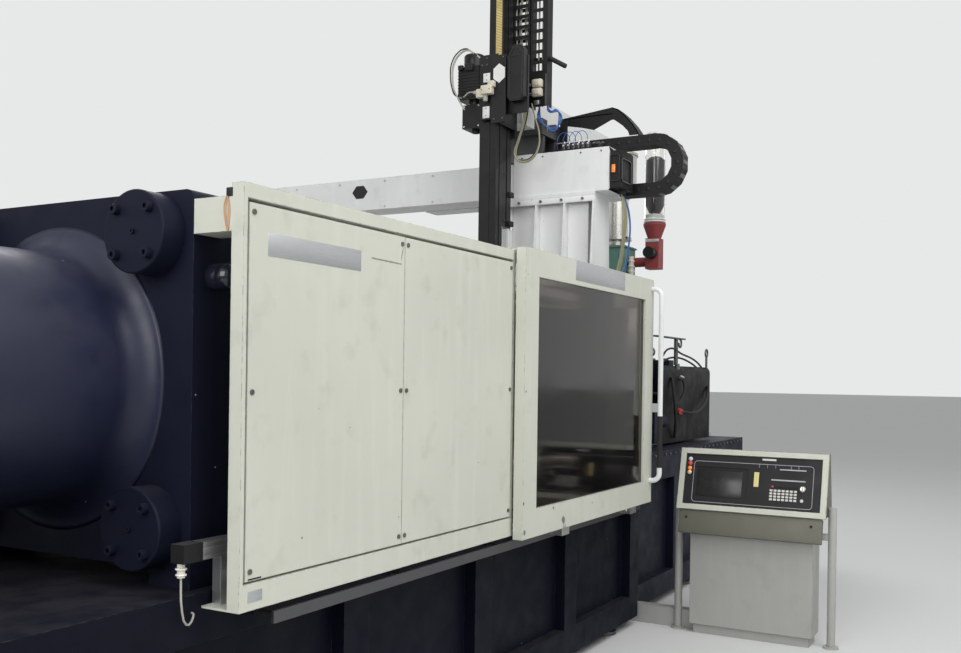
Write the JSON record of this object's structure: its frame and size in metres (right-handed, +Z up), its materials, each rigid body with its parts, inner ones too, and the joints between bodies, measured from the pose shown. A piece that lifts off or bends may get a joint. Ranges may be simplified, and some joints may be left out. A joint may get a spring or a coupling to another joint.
{
  "type": "injection moulding machine",
  "caption": "Horizontal injection moulding machine with hydraulic clamp, guard doors, injection unit, operating console and a linear take-out robot.",
  "frame": {"origin": "on the floor under the middle of the machine's outer box, leaving the sensor cable aside", "axes": "+X along the machine from the clamp to the injection unit, -Y the operator's side, +Z up"},
  "size_m": [8.22, 4.1189, 4.56],
  "materials": {
    "navy_paint": "semi-gloss",
    "cream_paint": "satin",
    "white_paint": "satin",
    "white_sheet": "satin",
    "ground_steel": "ground",
    "dark_steel": "oiled",
    "black_anodised": "anodised",
    "black_plastic": "matte",
    "smoked_window": "smoked",
    "clear_tube": "clear",
    "aluminium_profile": "anodised",
    "grey_cable": "matte",
    "green_paint": "satin",
    "stainless": "brushed",
    "red_paint": "satin",
    "grey_paint": "satin"
  },
  "bodies": {
    "frame": {"clamp_bed": "navy_paint", "injection_bed": "navy_paint", "levelling_feet": "dark_steel", "slide_rails": "ground_steel", "cylinder_platen": "navy_paint", "clamp_cylinder": "navy_paint", "cylinder_cover": "navy_paint", "tie_bars": "ground_steel", "tie_bar_nuts": "navy_paint", "machine_screws": "dark_steel", "fixed_platen": "navy_paint", "guard_frame": "cream_paint", "guard_panel_rear": "cream_paint", "guard_panel_front": "cream_paint", "guard_screws": "ground_steel", "door_rails": "dark_steel", "rear_guard": "cream_paint", "position_sensor": "aluminium_profile", "sensor_cable": "grey_cable", "carriage_rods": "ground_steel", "purge_guard_mount": "dark_steel", "pump_motor": "dark_steel", "console_stand": "grey_paint", "console_housing": "grey_paint", "console_bezel": "cream_paint", "console_fascia": "black_plastic", "robot_pedestal": "white_paint", "robot_beam": "white_paint", "beam_chain": "black_plastic"},
    "moving_platen": {"moving_platen": "navy_paint", "clamp_ram": "ground_steel", "ejector_cylinder": "dark_steel"},
    "ejector": {"ejector_rod": "ground_steel"},
    "front_door": {"door_frame": "cream_paint", "door_window": "smoked_window", "door_handle": "white_paint", "door_shoes": "ground_steel"},
    "rear_door": {"rear_door": "cream_paint", "rear_window": "smoked_window"},
    "carriage": {"carriage": "navy_paint", "barrel": "dark_steel", "heater_bands": "ground_steel", "nozzle": "ground_steel", "barrel_cover": "cream_paint", "injection_cylinders": "dark_steel", "hopper_base": "green_paint", "hopper": "stainless", "dosing_unit": "red_paint", "sight_tube": "clear_tube"},
    "crosshead": {"crosshead": "navy_paint", "screw_motor": "dark_steel"},
    "screw": {"screw": "ground_steel"},
    "hopper_gate": {"hopper_gate": "ground_steel"},
    "purge_guard": {"purge_guard": "cream_paint"},
    "key_switch": {"key_switch": "ground_steel"},
    "robot_carriage": {"robot_carriage": "dark_steel"},
    "kick_beam": {"kick_beam": "white_sheet", "arm_chain": "black_plastic"},
    "robot_arm": {"robot_arm": "black_anodised"},
    "robot_wrist": {"robot_wrist": "dark_steel"}
  },
  "joints": [
    {"name": "platen_slide", "type": "slide", "parent": "frame", "child": "moving_platen", "axis": [1, 0, 0], "range_m": [0, 0.9]},
    {"name": "ejector_slide", "type": "slide", "parent": "moving_platen", "child": "ejector", "axis": [1, 0, 0], "range_m": [0, 0.2]},
    {"name": "front_door_slide", "type": "slide", "parent": "frame", "child": "front_door", "axis": [-1, 0, 0], "range_m": [0, 1.6]},
    {"name": "rear_door_slide", "type": "slide", "parent": "frame", "child": "rear_door", "axis": [-1, 0, 0], "range_m": [0, 1.6]},
    {"name": "carriage_slide", "type": "slide", "parent": "frame", "child": "carriage", "axis": [1, 0, 0], "range_m": [0, 0.45]},
    {"name": "screw_stroke", "type": "slide", "parent": "carriage", "child": "crosshead", "axis": [1, 0, 0], "range_m": [0, 0.35]},
    {"name": "screw_turn", "type": "hinge", "parent": "crosshead", "child": "screw", "pos_m": [3.21, -0.1025, 1.6], "axis": [1, 0, 0], "continuous": true},
    {"name": "hopper_gate_slide", "type": "slide", "parent": "carriage", "child": "hopper_gate", "axis": [0, 1, 0], "range_m": [0, 0.11]},
    {"name": "purge_guard_hinge", "type": "hinge", "parent": "frame", "child": "purge_guard", "pos_m": [1.11, 0.1455, 1.845], "axis": [-1, 0, 0], "range_deg": [0, 95]},
    {"name": "key_turn", "type": "hinge", "parent": "frame", "child": "key_switch", "pos_m": [1.18447, -1.8495, 0.96097], "axis": [-0.9659, 0, 0.2588], "range_deg": [0, 90]},
    {"name": "robot_traverse", "type": "slide", "parent": "frame", "child": "robot_carriage", "axis": [0, 1, 0], "range_m": [0, 1.6], "deforming": ["beam_chain"]},
    {"name": "robot_kick", "type": "slide", "parent": "robot_carriage", "child": "kick_beam", "axis": [1, 0, 0], "range_m": [-0.45, 0.15]},
    {"name": "robot_lift", "type": "slide", "parent": "kick_beam", "child": "robot_arm", "axis": [0, 0, 1], "range_m": [-0.95, 0], "deforming": ["arm_chain"]},
    {"name": "wrist_turn", "type": "hinge", "parent": "robot_arm", "child": "robot_wrist", "pos_m": [0.393, -0.0785, 2.37], "axis": [0, 1, 0], "range_deg": [0, 90]}
  ]
}
